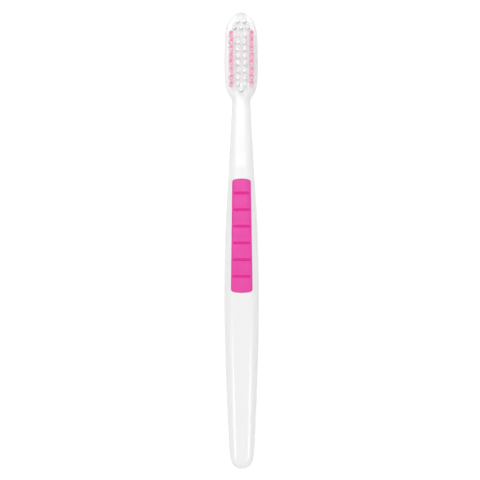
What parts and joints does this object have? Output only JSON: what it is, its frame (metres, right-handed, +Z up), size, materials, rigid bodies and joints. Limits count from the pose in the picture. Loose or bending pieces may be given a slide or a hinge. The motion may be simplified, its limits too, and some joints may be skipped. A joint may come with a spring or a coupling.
{
  "type": "manual toothbrush",
  "caption": "Straight manual toothbrush with a slim one-piece handle, a grooved soft grip pad under the thumb, and a narrow head set with separate flat-trimmed bristle tufts.",
  "frame": {"origin": "middle of the brush's box in X and Y, on the surface that the brush lies on", "axes": "+Y along the brush from the end of the handle to the toe of the head, +X across the brush, +Z up along the bristles"},
  "size_m": [0.0144, 0.19, 0.0155],
  "materials": {
    "handle_white": "moulded white plastic, glossy",
    "grip_pink": "soft pink moulded rubber, satin",
    "bristle_pink": "pink nylon filaments, end-rounded",
    "bristle_white": "clear white nylon filaments, end-rounded",
    "anchor_metal": "drawn flat wire, cut"
  },
  "bodies": {
    "root": {"handle": "handle_white", "grip_pad": "grip_pink", "anchor_wires": "anchor_metal", "toe_tuft_1": "bristle_white", "toe_tuft_2": "bristle_white", "bow_tuft_1": "bristle_white", "bow_tuft_2": "bristle_white", "bow_tuft_3": "bristle_white", "pink_tuft_left_1": "bristle_pink", "pink_tuft_left_2": "bristle_pink", "pink_tuft_left_3": "bristle_pink", "pink_tuft_left_4": "bristle_pink", "pink_tuft_left_5": "bristle_pink", "pink_tuft_left_6": "bristle_pink", "pink_tuft_left_7": "bristle_pink", "pink_tuft_left_8": "bristle_pink", "white_tuft_left_1": "bristle_white", "white_tuft_left_2": "bristle_white", "white_tuft_left_3": "bristle_white", "white_tuft_left_4": "bristle_white", "white_tuft_left_5": "bristle_white", "white_tuft_left_6": "bristle_white", "white_tuft_left_7": "bristle_white", "white_tuft_left_8": "bristle_white", "white_tuft_right_1": "bristle_white", "white_tuft_right_2": "bristle_white", "white_tuft_right_3": "bristle_white", "white_tuft_right_4": "bristle_white", "white_tuft_right_5": "bristle_white", "white_tuft_right_6": "bristle_white", "white_tuft_right_7": "bristle_white", "white_tuft_right_8": "bristle_white", "pink_tuft_right_1": "bristle_pink", "pink_tuft_right_2": "bristle_pink", "pink_tuft_right_3": "bristle_pink", "pink_tuft_right_4": "bristle_pink", "pink_tuft_right_5": "bristle_pink", "pink_tuft_right_6": "bristle_pink", "pink_tuft_right_7": "bristle_pink", "pink_tuft_right_8": "bristle_pink", "heel_tuft": "bristle_white"}
  },
  "joints": []
}
